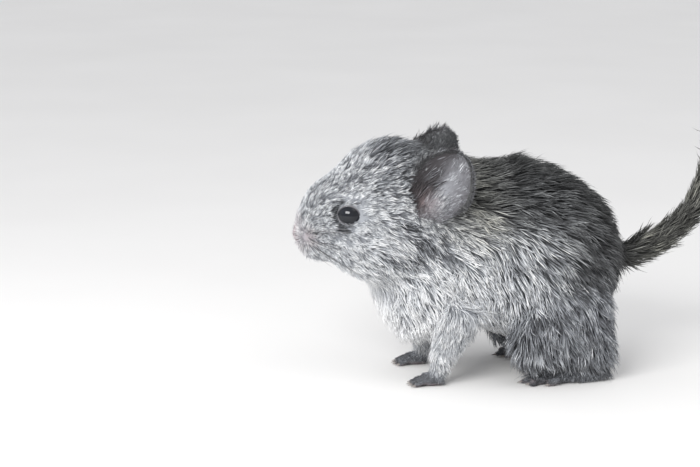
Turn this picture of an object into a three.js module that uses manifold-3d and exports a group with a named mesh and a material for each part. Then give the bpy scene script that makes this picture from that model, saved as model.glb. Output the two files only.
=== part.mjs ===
// A young chinchilla, standing still on all four feet, life size, in millimetres.
// The head points to -Y, the animal's left is +X and the floor is z = 0.
// The solids follow the outside of the coat. Lengths along the body are measured
// from the tip of the nose, and the finished group is centred on its own box.
import * as THREE from "three";
import { ParametricGeometry } from "three/addons/geometries/ParametricGeometry.js";
import { mergeVertices } from "three/addons/utils/BufferGeometryUtils.js";
import Module from "manifold-3d";

const wasm = await Module();
wasm.setup();

// Driving dimensions
const GAP = 0.3; // between neighbouring pieces
const NOSE_HEIGHT = 45; // of the nose tip above the floor
const BLEND = 4; // how softly neighbouring masses flow together
const EYE_RADIUS = 4;
const EYE_AT = [9.9, 14.1, 52.8];
const EAR_ROOT = { left: [16.6, 34, 52], right: [15.8, 36.5, 54.3] };
const EAR_LEAN = { left: [0.14, 0.5, 0.86], right: [0.08, 0.62, 0.79] };
const EAR_LENGTH = 23;
const EAR_WIDTH = 20;
const EAR_THICKNESS = 1.2;
const EAR_CUP = 4.2; // depth of the hollow inside the ear
const EAR_SOCKET = 0.8; // room round the root of an ear
const TAIL_RADIUS = 5.5; // with its brush of hair
const TAIL_CUTS = [0.36, 0.68]; // shares of the tail's length
const SIDES = { left: 1, right: -1 };

// Each mass of the body: its middle and its half-widths across, along and up.
const BODY_MASSES = [
  { at: [0, 6.5, NOSE_HEIGHT + 0.3], half: [6.8, 7.6, 7.6] }, // muzzle
  { at: [0, 13.5, 52.4], half: [10.3, 12.5, 11.2] }, // bridge of the nose
  { at: [0, 27.5, 57.3], half: [16.5, 17, 17.7] }, // cranium
  { at: [8.4, 21.8, 42.2], half: [9.4, 13, 11] }, // left cheek
  { at: [-8.4, 21.8, 42.2], half: [9.4, 13, 11] }, // right cheek
  { at: [0, 45, 46.8], half: [20, 17, 22] }, // ruff of the neck
  { at: [0, 37, 27.5], half: [15.5, 14.5, 17.5] }, // chest
  { at: [0, 65, 39.8], half: [23.5, 26.5, 28] }, // barrel
  { at: [0, 76.3, 36.3], half: [23.8, 24, 25.2] }, // rump
];

// Small helpers for vectors and solids
const vec = (p) => new THREE.Vector3(...p);
const mirrored = (p, side) => vec([p[0] * side, p[1], p[2]]);

// A closed three.js geometry as a solid with its faces pointing out.
function solid(geometry) {
  const bare = geometry.clone();
  bare.deleteAttribute("normal");
  bare.deleteAttribute("uv");
  const merged = mergeVertices(bare, 1e-4);
  const corners = [];
  const index = merged.index.array;
  for (let i = 0; i < index.length; i += 3) {
    const [a, b, c] = index.slice(i, i + 3);
    if (a !== b && b !== c && c !== a) corners.push(a, b, c);
  }
  const build = (triVerts) =>
    new wasm.Manifold(
      new wasm.Mesh({
        numProp: 3,
        vertProperties: merged.attributes.position.array,
        triVerts,
      }),
    );
  const made = build(new Uint32Array(corners));
  return made.volume() > 0 ? made : build(new Uint32Array(corners.reverse()));
}

// The largest body of a solid, without the crumbs that a cut can leave.
function largest(shape) {
  return shape.decompose().sort((a, b) => b.volume() - a.volume())[0];
}

// The bodies of a solid in their order from the nose to the tail.
function inOrder(shape, count) {
  return shape
    .decompose()
    .sort((a, b) => b.volume() - a.volume())
    .slice(0, count)
    .sort((a, b) => a.boundingBox().min[1] - b.boundingBox().min[1]);
}

// A thin slab for parting a solid. It faces along normal and passes through at.
function slab(at, normal, size = 90) {
  const plate = new THREE.BoxGeometry(size, size, GAP);
  const turn = new THREE.Quaternion().setFromUnitVectors(
    new THREE.Vector3(0, 0, 1),
    vec(normal).normalize(),
  );
  plate.applyQuaternion(turn).translate(...at);
  return solid(plate);
}

// Everything under the floor, which trims the feet flat.
function underFloor() {
  return solid(new THREE.BoxGeometry(200, 300, 40).translate(0, 60, -20));
}

// About how far a point is outside an ellipsoid.
function outsideEllipsoid(p, { at, half }, grow) {
  const [x, y, z] = [0, 1, 2].map((i) => (p.getComponent(i) - at[i]) / (half[i] + grow));
  const reach = Math.hypot(x, y, z);
  return (reach - 1) * Math.min(...half);
}

// About how far a point is outside masses that flow together.
function outsideMasses(p, masses, grow = 0) {
  let sum = 0;
  for (const mass of masses) sum += Math.exp(-outsideEllipsoid(p, mass, grow) / (BLEND / 2));
  return (-Math.log(sum) * BLEND) / 2;
}

// Where a ray from inside masses leaves them.
function wayOut(from, direction, masses, grow) {
  let [near, far] = [0, 80];
  const p = new THREE.Vector3();
  for (let i = 0; i < 26; i += 1) {
    const middle = (near + far) / 2;
    p.copy(from).addScaledVector(direction, middle);
    if (outsideMasses(p, masses, grow) < 0) near = middle;
    else far = middle;
  }
  return near;
}

// A skin drawn over masses: rings of rays that leave a line inside them at right angles to Y.
function wrapped(masses, start, end, around, along, grow = 0) {
  const line = new THREE.LineCurve3(vec(start), vec(end));
  const back = new THREE.Vector3(0, 1, 0);
  const first = vec(start).addScaledVector(back, -wayOut(vec(start), back.clone().negate(), masses, grow));
  const last = vec(end).addScaledVector(back, wayOut(vec(end), back, masses, grow));
  return solid(
    new ParametricGeometry(
      (u, v, target) => {
        const share = (1 - Math.cos(Math.PI * Math.min(Math.max(v, 0), 1))) / 2;
        const y = THREE.MathUtils.lerp(first.y, last.y, share);
        const at = THREE.MathUtils.clamp((y - start[1]) / (end[1] - start[1]), 0, 1);
        target.copy(line.getPoint(at)).setY(y);
        if (v <= 0 || v >= 1) return;
        const turn = 2 * Math.PI * (u % 1);
        const direction = new THREE.Vector3(Math.sin(turn), 0, Math.cos(turn));
        target.addScaledVector(direction, wayOut(target, direction, masses, grow));
      },
      around,
      along,
    ),
  );
}

// A round limb along a smooth curve. Its radius runs through the given radii.
function limb(points, radii, around, along, { grow = 0, flatten = 1 } = {}) {
  const curve = new THREE.CatmullRomCurve3(points.map(vec), false, "centripetal");
  const widths = new THREE.SplineCurve(radii.map((r, i) => new THREE.Vector2(i, r)));
  const side = new THREE.Vector3();
  return solid(
    new ParametricGeometry(
      (u, v, target) => {
        const share = Math.min(Math.max(v, 0), 1);
        const capped = (1 - Math.cos(Math.PI * share)) / 2;
        const tangent = curve.getTangent(capped);
        target.copy(curve.getPoint(capped));
        target.addScaledVector(tangent, grow * (2 * capped - 1));
        if (v <= 0 || v >= 1) return;
        const round = Math.sqrt(Math.sin(Math.PI * Math.min(1, 4 * Math.min(share, 1 - share)) / 2));
        const radius = (widths.getPoint(capped).y + grow) * round;
        side.set(1, 0, 0).addScaledVector(tangent, -tangent.x).normalize();
        const up = new THREE.Vector3().crossVectors(tangent, side);
        const turn = 2 * Math.PI * (u % 1);
        target.addScaledVector(side, radius * Math.cos(turn));
        target.addScaledVector(up, radius * flatten * Math.sin(turn));
      },
      around,
      along,
    ),
  );
}

// Head, neck and trunk: one whole shape, parted by two thin cuts
function bodyPieces() {
  const whole = wrapped(BODY_MASSES, [0, 8, NOSE_HEIGHT], [0, 86, 34], 24, 30);
  const behindHead = slab([0, 41.5, 50], [0, 1, -0.32]);
  const behindNeck = slab([0, 56, 46], [0, 1, -0.5]);
  return inOrder(whole.subtract(behindHead).subtract(behindNeck), 3);
}

function noseShape(grow = 0) {
  const pad = new THREE.SphereGeometry(1, 12, 8);
  pad.scale(2.9 + grow, 1.9 + grow, 2.2 + grow);
  return solid(pad.translate(0, -0.3, NOSE_HEIGHT + 0.6));
}

function eyeShape(side, grow = 0) {
  const ball = new THREE.SphereGeometry(EYE_RADIUS + grow, 16, 10);
  return solid(ball.translate(EYE_AT[0] * side, EYE_AT[1], EYE_AT[2]));
}

// Ears: a rounded leaf that is cupped forwards and outwards
function earShape(side, grow = 0) {
  const root = mirrored(side > 0 ? EAR_ROOT.left : EAR_ROOT.right, side);
  const up = mirrored(side > 0 ? EAR_LEAN.left : EAR_LEAN.right, side).normalize();
  const faces = mirrored([1, -0.4, 0.05], side);
  const across = new THREE.Vector3().crossVectors(up, faces).normalize();
  const out = new THREE.Vector3().crossVectors(across, up);
  const halfWidth = (s) => {
    const round = Math.sqrt(Math.max(0, Math.sin(Math.PI * (0.17 + 0.83 * s))));
    return (EAR_WIDTH / 2) * (0.4 + 0.6 * Math.sin((Math.PI / 2) * Math.min(1, s * 1.9))) * round;
  };
  const hollow = (s, x) => {
    const share = Math.min(1.2, Math.abs(x) / Math.max(halfWidth(s), 1.5));
    return -EAR_CUP * Math.sin(Math.PI * (0.15 + s * 0.75)) * (1 - share * share);
  };
  return solid(
    new ParametricGeometry(
      (u, v, target) => {
        const share = (1 - Math.cos(Math.PI * THREE.MathUtils.clamp(v, 0, 1))) / 2;
        const rise = share * (EAR_LENGTH + 2 * grow) - grow;
        const s = THREE.MathUtils.clamp(rise / EAR_LENGTH, 0, 1);
        const turn = 2 * Math.PI * (u % 1);
        const tip = v <= 0 || v >= 1;
        const edge = tip ? 0 : (halfWidth(s) + grow) * Math.cos(turn);
        const thick = tip ? 0 : Math.sin(turn);
        const half = (EAR_THICKNESS / 2 + grow) * Math.sign(thick) * Math.abs(thick) ** 0.6;
        target.copy(root).addScaledVector(up, rise).addScaledVector(across, edge);
        target.addScaledVector(out, hollow(s, edge) + half);
      },
      14,
      10,
    ),
  );
}

// Legs
function forelegShape(side, grow = 0) {
  const points = [
    [14, 49, 26],
    [13.5, 45.5, 18],
    [12.5, 42, 9],
    [12, 40.5, 3.2],
  ].map((p) => [p[0] * side, p[1], p[2]]);
  return limb(points, [7, 6.3, 4.5, 3], 12, 10, { grow });
}

function forepawShape(side, grow = 0) {
  const palm = [
    [12 * side, 42.5, 2.5],
    [12 * side, 39.5, 2.2],
    [12 * side, 35.5, 1.5],
  ];
  let paw = limb(palm, [2.6, 3.2, 2.6], 10, 6, { grow, flatten: 0.75 });
  for (const spread of [-1.5, -0.5, 0.5, 1.5]) {
    const reach = 32.2 + 0.6 * Math.abs(spread);
    const finger = [
      [(12 + spread * 1.2) * side, 37, 1.8],
      [(12 + spread * 1.55) * side, (37 + reach) / 2, 1.5],
      [(12 + spread * 1.75) * side, reach, 0.6],
    ];
    paw = paw.add(limb(finger, [0.95, 0.95, 0.7], 6, 5, { grow }));
  }
  return paw;
}

function hindlegShape(side, grow = 0) {
  const thigh = { at: [14.5 * side, 79, 22], half: [10.5, 15.5, 17] };
  const knee = { at: [16.5 * side, 69.5, 13], half: [7.5, 8.5, 9.5] };
  const hock = { at: [15.5 * side, 88, 9], half: [5.6, 7.6, 7.5] };
  const masses = [thigh, knee, hock];
  return wrapped(masses, [16 * side, 71, 14], [16 * side, 86, 13], 16, 12, grow);
}

function hindfootShape(side, grow = 0) {
  const sole = [
    [15 * side, 93.5, 2.9],
    [15.3 * side, 85, 2.6],
    [15.8 * side, 74, 1.8],
  ];
  const toes = [
    { across: -2.2, length: 8.2 },
    { across: 0, length: 9.4 },
    { across: 2.2, length: 8.4 },
    { across: 3.9, length: 3.6 },
  ];
  let foot = limb(sole, [2.6, 3.3, 3.3], 10, 7, { grow, flatten: 0.85 });
  for (const { across, length } of toes) {
    const start = 75 + Math.abs(across) * 0.4;
    const toe = [
      [(15.8 + across * 0.85) * side, start, 1.9],
      [(15.8 + across * 1.05) * side, start - length / 2, 1.5],
      [(15.8 + across * 1.15) * side, start - length, 0.6],
    ];
    foot = foot.add(limb(toe, [1.2, 1.15, 0.8], 6, 5, { grow }));
  }
  return foot;
}

// Tail: it leaves the rump backwards, then turns up
const TAIL_POINTS = [
  [0, 94, 33.5],
  [0, 105, 36.5],
  [0, 114, 40.5],
  [-0.4, 121, 45.8],
  [-0.8, 125.8, 53.5],
  [-1.2, 128.6, 62.5],
  [-1.6, 130, 73],
];
const TAIL_RADII = [5, TAIL_RADIUS, 5.1, 4.6, 4.2, 3.9, 2.4];

function tailPieces() {
  const curve = new THREE.CatmullRomCurve3(TAIL_POINTS.map(vec), false, "centripetal");
  let tail = limb(TAIL_POINTS, TAIL_RADII, 12, 16);
  for (const share of TAIL_CUTS) {
    tail = tail.subtract(slab(curve.getPoint(share).toArray(), curve.getTangent(share).toArray(), 24));
  }
  return inOrder(tail, TAIL_CUTS.length + 1);
}

// The pieces, each cut back from its neighbours by the gap
const floor = underFloor();
const shapes = {};
let [head, neck, trunk] = bodyPieces();
head = head.subtract(noseShape(GAP));
trunk = trunk.subtract(limb(TAIL_POINTS, TAIL_RADII, 12, 16, { grow: GAP }));
for (const [name, side] of Object.entries(SIDES)) {
  head = head.subtract(eyeShape(side, GAP)).subtract(earShape(side, EAR_SOCKET));
  neck = neck.subtract(earShape(side, EAR_SOCKET)).subtract(forelegShape(side, GAP));
  trunk = trunk.subtract(forelegShape(side, GAP)).subtract(hindlegShape(side, GAP));
  const foreleg = forelegShape(side).subtract(forepawShape(side, GAP));
  const hindleg = hindlegShape(side).subtract(hindfootShape(side, GAP));
  shapes["eye_" + name] = eyeShape(side);
  shapes["ear_" + name] = earShape(side);
  shapes["foreleg_" + name] = foreleg.subtract(floor);
  shapes["forepaw_" + name] = forepawShape(side).subtract(floor);
  shapes["hindleg_" + name] = hindleg.subtract(floor);
  shapes["hindfoot_" + name] = hindfootShape(side).subtract(floor);
}
shapes.nose = noseShape();
shapes.head = head;
shapes.neck = neck;
shapes.trunk = trunk.subtract(floor);
[shapes.tail_base, shapes.tail_middle, shapes.tail_tip] = tailPieces();

// Materials
const FUR = { color: 0x9a9b9c, roughness: 0.95, metalness: 0 };
const DARK_FUR = { color: 0x5a5a58, roughness: 0.95, metalness: 0 };
const SKIN = { color: 0xb9a6a6, roughness: 0.7, metalness: 0 };
const EYE = { color: 0x10131a, roughness: 0.06, metalness: 0 };

function finishOf(name) {
  if (name.startsWith("eye")) return EYE;
  if (name === "nose" || name.startsWith("ear") || name.includes("paw") || name.includes("foot")) return SKIN;
  if (name === "trunk" || name.startsWith("tail")) return DARK_FUR;
  return FUR;
}

// A solid as a three.js mesh.
function meshOf(name, shape) {
  const { vertProperties, triVerts } = largest(shape).getMesh();
  const geometry = new THREE.BufferGeometry();
  geometry.setAttribute("position", new THREE.BufferAttribute(vertProperties, 3));
  geometry.setIndex(new THREE.BufferAttribute(triVerts, 1));
  geometry.computeVertexNormals();
  const mesh = new THREE.Mesh(geometry, new THREE.MeshStandardMaterial(finishOf(name)));
  mesh.name = name;
  return mesh;
}

const chinchilla = new THREE.Group();
for (const [name, shape] of Object.entries(shapes)) chinchilla.add(meshOf(name, shape));
const middle = new THREE.Box3().setFromObject(chinchilla).getCenter(new THREE.Vector3());
chinchilla.position.set(-middle.x, -middle.y, 0);

export default chinchilla;
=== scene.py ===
# A young chinchilla: one skin, a coat of solid tufts, eyes, lids, claws and whiskers,
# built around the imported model, with a pale floor, soft light and the photo's camera.
import math

import bmesh
import bpy
import numpy as np
from mathutils import Matrix, Vector
from mathutils.kdtree import KDTree


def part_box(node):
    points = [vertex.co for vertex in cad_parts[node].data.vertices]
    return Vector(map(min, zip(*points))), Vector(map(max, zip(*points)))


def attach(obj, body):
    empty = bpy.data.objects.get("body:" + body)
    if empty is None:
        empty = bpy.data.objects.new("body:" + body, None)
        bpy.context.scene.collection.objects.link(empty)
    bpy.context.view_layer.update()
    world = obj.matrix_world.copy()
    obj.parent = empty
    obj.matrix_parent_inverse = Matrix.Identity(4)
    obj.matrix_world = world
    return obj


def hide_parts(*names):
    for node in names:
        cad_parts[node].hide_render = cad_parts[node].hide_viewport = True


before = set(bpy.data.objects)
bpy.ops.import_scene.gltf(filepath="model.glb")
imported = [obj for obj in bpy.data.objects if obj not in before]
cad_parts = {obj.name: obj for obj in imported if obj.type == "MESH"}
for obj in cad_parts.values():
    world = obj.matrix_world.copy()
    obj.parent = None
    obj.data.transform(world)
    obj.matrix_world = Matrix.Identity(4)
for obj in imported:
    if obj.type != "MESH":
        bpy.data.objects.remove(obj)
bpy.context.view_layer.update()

# Places and sizes are in millimetres. y runs back from the tip of the nose, the
# animal's left is +x and the floor is z = 0. to_frame turns them into the frame's metres.
MM = 0.001
SEED = 7
SIDES = {"left": 1, "right": -1}
NOSE_INSET = 0.3  # from the middle of the nose's solid back to y = 0


def box_middle(node):
    low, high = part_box(node)
    return (np.array(low) + np.array(high)) / 2


SHIFT = np.array([0.0, box_middle("nose")[1] + NOSE_INSET * MM, 0.0])


def to_frame(points):
    return np.asarray(points, float) * MM + SHIFT


def from_frame(points):
    return (np.asarray(points, float) - SHIFT) / MM


NOSE = from_frame(box_middle("nose"))

# Skin
VOXEL = 0.42
SKIN_TRIANGLES = 158_000
SEAM_FILL = 0.22  # each solid swells by this much, so that the gaps close
WELD = 0.001  # corners closer than this become one
SAMPLES_PER_AREA = 1.6  # places per square millimetre of the solids that tell the regions apart
SAMPLES_LEAST = 60
SOFT_ROUNDS = 14  # rounds of smoothing before the skin sinks under the coat
SINK_ROUNDS = 8
THIN_SOFTNESS = 0.12  # thin parts are smoothed this much less

# Where the skin is finer: round the muzzle and on the toes
MUZZLE = (0, 0, 44)
MUZZLE_REACH = 8
TOES_TOP = 3
FORE_TOES_END = 39
HIND_TOES = (63, 77)  # y before and behind them
HIND_TOES_INSIDE = 11  # their least distance from the middle plane

# Eyes
EYE_RADIUS = 4.0
EYE_BULGE = 0.018  # share of the radius by which the front stands out
EYE_CENTRE = {side: from_frame(box_middle("eye_" + side)) for side in SIDES}
EYE_LOOK = (0.93, -0.34, 0.12)  # outwards, for the left eye
OPENING_LENGTH = 5.9
OPENING_HEIGHT = 4.9
BARE_ROUND_EYE = 0.3
SOCKET_DEPTH = 0.9  # from the eyeball down to the skin inside the lids
SOCKET_LIP = 0.15  # from the eyeball up to the skin outside them

# Ears: rise runs from the root to the tip, back runs across to the back rim
EAR_ROOT = {"left": (16.6, 34, 52), "right": (-15.8, 36.5, 54.3)}
EAR_LEAN = {"left": (0.14, 0.5, 0.86), "right": (-0.08, 0.62, 0.79)}
EAR_FACES = (1, -0.4, 0.05)
EAR_LENGTH = 23
EAR_WIDTH = 20
EAR_NEAR = 7  # further than this from an ear's sheet isn't the ear
EAR_RIM = 0.95  # where the rim starts, from 0 in the middle to 1 at the edge
EAR_FAN = 9  # how far across an ear the hair fans out by 45 degrees
EAR_COAT = 0.42
EAR_HOLE = (3.2, -3.4)  # rise and back
TRAGUS = (1.4, -0.6)
EAR_ROOT_FILL = 4.2  # radius of the flesh that fills the socket round an ear's root
EAR_ROOT_INSET = 2.6  # how far inside the root that flesh has its middle

# The middle line of the tail, from root to tip
TAIL_LINE = np.array(
    [
        (0, 94, 33.5),
        (0, 105, 36.5),
        (0, 114, 40.5),
        (-0.4, 121, 45.8),
        (-0.8, 125.8, 53.5),
        (-1.2, 128.6, 62.5),
        (-1.6, 130, 73),
    ]
)
TAIL_REACH = 5

# Coat
COAT_TRIANGLES = 1_380_000
PIECE_TRIANGLES = 190_000
LONG_TUFT = 3.4  # longer hair than this has one bend more
LONG_TUFT_TRIANGLES = 16
SHORT_TUFT_TRIANGLES = 10
UV_PATCH = 0.003
CLUMP = 12  # tufts that share a lock
CLUMP_REACH = 3  # distance over which tufts gather to the lock's leader
GUARD_HAIRS = 0.08  # share of the tufts that are guard hairs
GUARD_LENGTH = 1.2  # guard hairs are longer, steeper and thinner than the others
GUARD_STEEPNESS = 1.3
GUARD_WIDTH = 0.55
SPREAD_OWN = 0.14  # how far the lie differs from tuft to tuft
SPREAD_LOCK = 0.17  # and from lock to lock
SHADE_OWN = 0.19  # how far the lightness differs from tuft to tuft
SHADE_LOCK = 0.2  # and from lock to lock
DARK_TIPS = 0.4  # share of the tufts with a darker tip
ROOT_DEPTH = 0.25  # how far under the skin a tuft starts
WAVE = 0.16  # how far the lie of the hair swings in waves
WAVE_TURNS = np.array([(0.31, 0.52, 0.23), (0.44, -0.28, 0.41), (-0.22, 0.37, 0.55)])
WIDTH_SHARE = 0.052  # of a tuft's length
WIDTH_LEAST = 0.11
BARE_NOSE = 1.9
SOLES = 0.25  # no tufts on the feet below this height

# Guide hairs on the head and body, for x >= 0: place, lie of the hair, depth of the
# coat, length, lightness from 0 to 1, streaks (contrast between neighbouring locks), olive warmth
GUIDES = [
    ((0, 0, 52), (0, 0.3, 1), 0.9, 2.5, 0.74, 0.7, 0.0),  # bridge above the nose
    ((5, 2, 48), (0.6, 0.8, 0.3), 0.8, 2.3, 0.76, 0.6, 0.0),  # side of the nose
    ((6, 4, 42), (0.5, 0.8, -0.55), 0.9, 2.8, 0.78, 0.6, 0.0),  # whisker pad
    ((0, 4, 38.5), (0, 0.8, -0.5), 0.8, 2.4, 0.88, 0.2, 0.0),  # chin
    ((8.5, 8, 50), (0.4, 0.85, 0.25), 0.8, 2.5, 0.74, 0.6, 0.0),  # before the eye
    ((0, 12, 65), (0, 0.75, 0.65), 1.4, 3.2, 0.74, 0.9, 0.0),  # forehead
    ((9, 14, 60), (0.25, 0.8, 0.6), 1.0, 2.8, 0.78, 0.9, 0.0),  # brow
    ((11, 14, 45), (0.3, 0.8, -0.55), 1.2, 3.4, 0.84, 0.5, 0.0),  # below the eye
    ((0, 27, 74), (0, 0.9, 0.4), 2.8, 5.2, 0.5, 0.8, 0.0),  # crown
    ((7, 33, 74), (0, 0.8, 0.6), 3.4, 6.5, 0.34, 0.5, 0.2),  # before the far ear
    ((13, 28, 66), (0.1, 1, 0.25), 1.6, 3.8, 0.58, 0.9, 0.0),  # temple
    ((14, 21, 54), (0.2, 1, -0.15), 1.4, 3.8, 0.82, 0.8, 0.0),  # behind the eye
    ((17, 24, 43), (0.2, 0.8, -0.75), 2.6, 5.8, 0.94, 0.8, 0.0),  # cheek
    ((19.5, 33.5, 46), (0.15, 0.75, -0.65), 3.0, 7.0, 0.76, 1.3, 0.0),  # behind the cheek
    ((12, 22, 34), (0.1, 0.75, -0.8), 2.8, 5.8, 0.88, 0.6, 0.0),  # jowl
    ((0, 22, 31), (0, 0.6, -0.9), 2.5, 5.0, 0.95, 0.2, 0.0),  # throat
    ((0, 45, 68), (0, 1, -0.05), 3.5, 7.0, 0.46, 0.4, 0.8),  # nape
    ((19, 46, 56), (0.1, 1, -0.25), 3.5, 7.5, 0.53, 0.45, 0.8),  # behind the ear
    ((20.5, 42, 42), (0.1, 0.75, -0.75), 3.8, 8.0, 0.98, 0.7, 0.0),  # ruff
    ((17, 40, 28), (0.05, 0.5, -0.95), 3.8, 8.0, 0.98, 0.3, 0.0),  # lower ruff
    ((0, 26, 20), (0, 0.25, -1), 3.8, 7.0, 1.0, 0.12, 0.0),  # chest
    ((0, 40, 11), (0, 1, -0.3), 3.2, 6.0, 0.95, 0.12, 0.0),  # under the chest
    ((0, 62, 67), (0, 1, -0.05), 2.8, 7.0, 0.22, 0.35, 0.5),  # back
    ((18, 66, 58), (0.15, 0.9, -0.45), 4.2, 8.0, 0.3, 0.4, 0.35),  # shoulder of the back
    ((24, 64, 42), (0.1, 0.65, -0.8), 4.4, 8.5, 0.76, 0.7, 0.0),  # flank
    ((22, 58, 26), (-0.05, 0.45, -1), 4.8, 8.5, 0.8, 0.5, 0.0),  # low flank
    ((0, 64, 12), (0, 1, -0.1), 3.5, 7.0, 0.92, 0.12, 0.0),  # belly
    ((0, 90, 58), (0, 0.85, -0.55), 2.9, 7.2, 0.22, 0.35, 0.5),  # top of the rump
    ((22, 84, 44), (0.1, 0.8, -0.65), 4.0, 8.2, 0.32, 0.5, 0.35),  # side of the rump
    ((0, 99, 40), (0, 0.5, -0.85), 4.0, 8.0, 0.22, 0.3, 0.45),  # back of the rump
    ((0, 96, 22), (0, 0.3, -1), 3.5, 6.0, 0.32, 0.25, 0.2),  # under the tail
    ((23, 82, 24), (0.05, 0.5, -0.95), 4.0, 8.0, 0.5, 0.55, 0.0),  # hip
]
GUIDE_REACH = 7.5
FAR_WEIGHT = 1e-9  # keeps the nearest guides in force where none is near
WHORL = (6.2, 1.6, 45.3)  # where the short hair of the muzzle spreads from

# The coat of the other parts: lie, depth, length, lightness, streaks, olive warmth
PARTS = {
    "nose": ((0, 1, 0.4), 0.6, 0.9, 0.5, 0.05, 0.0),
    "foreleg": ((0, 0.12, -1), 1.4, 4.0, 0.82, 0.5, 0.0),
    "forepaw": ((0, -1, -0.25), 0.3, 1.1, 0.36, 0.3, 0.0),
    "hindleg": ((0, 0.35, -1), 2.8, 6.5, 0.5, 0.5, 0.0),
    "hindfoot": ((0, -1, -0.2), 0.3, 1.2, 0.38, 0.3, 0.0),
    "tail": ((0, 1, 0), 2.5, 7.0, 0.38, 0.45, 0.8),
    "ear": ((0, 1, 1), 0.3, 1.5, 0.3, 0.3, 0.3),
}
DEPTH, LENGTH, _, STREAKS, _ = range(3, 8)  # columns after the three of the lie

FEET = ["forepaw", "hindfoot"]
THIN_KINDS = ["ear", "nose", *FEET]
# Parts whose tufts go with another part's
COAT_OF = {"nose": "head", "eye": "head", **dict.fromkeys(["foreleg", "hindleg", *FEET], "legs")}


# Numbers
def smoothstep(low, high, x):
    t = np.clip((x - low) / (high - low), 0, 1)
    return t * t * (3 - 2 * t)


def spot(*terms):
    """1 at a place, fading round it. Each term is a coordinate, its middle and its reach."""
    return np.exp(-sum(((value - middle) / reach) ** 2 for value, middle, reach in terms))


def unit(vectors):
    return vectors / np.maximum(np.linalg.norm(vectors, axis=-1, keepdims=True), 1e-12)


def mirrored(place, side):
    """A place or direction on the left, or the same on the right."""
    return np.array(place) * (SIDES[side], 1, 1)


def distances(points, place):
    return np.linalg.norm(points - place, axis=1)


def areas_of(corners):
    return np.linalg.norm(np.cross(corners[:, 1] - corners[:, 0], corners[:, 2] - corners[:, 0]), axis=1) / 2


def tree_of(points):
    """A search tree for the nearest of some places."""
    tree = KDTree(len(points))
    for index, point in enumerate(points):
        tree.insert(point, index)
    tree.balance()
    return tree


# Triangle meshes
def arrays_of(mesh):
    """Corner positions in millimetres and triangles of a Blender mesh."""
    mesh.calc_loop_triangles()
    points = np.empty(len(mesh.vertices) * 3)
    mesh.vertices.foreach_get("co", points)
    triangles = np.empty(len(mesh.loop_triangles) * 3, dtype=np.int32)
    mesh.loop_triangles.foreach_get("vertices", triangles)
    return from_frame(points.reshape(-1, 3)), triangles.reshape(-1, 3)


def mesh_from(name, points, triangles):
    """A Blender mesh from corner positions in millimetres and triangles."""
    mesh = bpy.data.meshes.new(name)
    mesh.vertices.add(len(points))
    mesh.vertices.foreach_set("co", to_frame(points).ravel())
    mesh.loops.add(triangles.size)
    mesh.loops.foreach_set("vertex_index", triangles.ravel().astype(np.int32))
    mesh.polygons.add(len(triangles))
    mesh.polygons.foreach_set("loop_start", np.arange(0, triangles.size, 3, dtype=np.int32))
    mesh.update(calc_edges=True)
    mesh.shade_smooth()
    return mesh


def merge(parts):
    """Several sets of corners and triangles as one."""
    starts = np.cumsum([0] + [len(points) for points, _ in parts[:-1]])
    points = np.concatenate([points for points, _ in parts])
    triangles = np.concatenate([triangles + start for (_, triangles), start in zip(parts, starts)])
    return points, triangles


def outward(points, triangles):
    """The same triangles with their fronts outside."""
    corners = points[triangles]
    volume = np.einsum("ij,ij->i", corners[:, 0], np.cross(corners[:, 1], corners[:, 2])).sum()
    return points, triangles if volume > 0 else triangles[:, ::-1]


def closed_rings(rows, poles):
    """A closed skin over rings of points, with a point at each end."""
    steps = len(rows[0])
    points = np.concatenate([np.concatenate(rows), np.array(poles)])
    start, end = len(points) - 2, len(points) - 1
    last = (len(rows) - 1) * steps
    faces = []
    for k in range(steps):
        n = (k + 1) % steps
        faces += [(start, k, n), (end, last + n, last + k)]
        for ring in range(0, last, steps):
            a, b = ring + k, ring + n
            faces += [(a, a + steps, b + steps), (a, b + steps, b)]
    return outward(points, np.array(faces))


def tube(line, radii, sides):
    """A closed tube along a line of points that ends in a point."""
    line = np.array(line, float)
    tangent = unit(np.gradient(line, axis=0))
    side = unit(np.cross(tangent, (0.13, 0.21, 1)))  # any way that no tube runs along
    up = np.cross(side, tangent)
    turn = np.linspace(0, 2 * math.pi, sides, endpoint=False)
    rows = []
    for p, s, u, r in zip(line[:-1], side, up, radii):
        rows.append(p + r * (np.cos(turn)[:, None] * s + np.sin(turn)[:, None] * u))
    return closed_rings(rows, [line[0], line[-1]])


def add_object(name, data):
    thing = bpy.data.objects.new(name, data)
    bpy.context.scene.collection.objects.link(thing)
    return thing


def add_piece(name, mesh, material, replaced=(), numbers=None):
    """A finished piece of the animal, with the numbers that its material reads at each corner."""
    piece = add_object(name, mesh)
    for key, values in (numbers or {}).items():
        attribute = mesh.attributes.new(key, "FLOAT", "POINT")
        attribute.data.foreach_set("value", np.asarray(values, np.float32))
    mesh.materials.append(material)
    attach(piece, "root")
    if replaced:
        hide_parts(*replaced)


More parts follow.
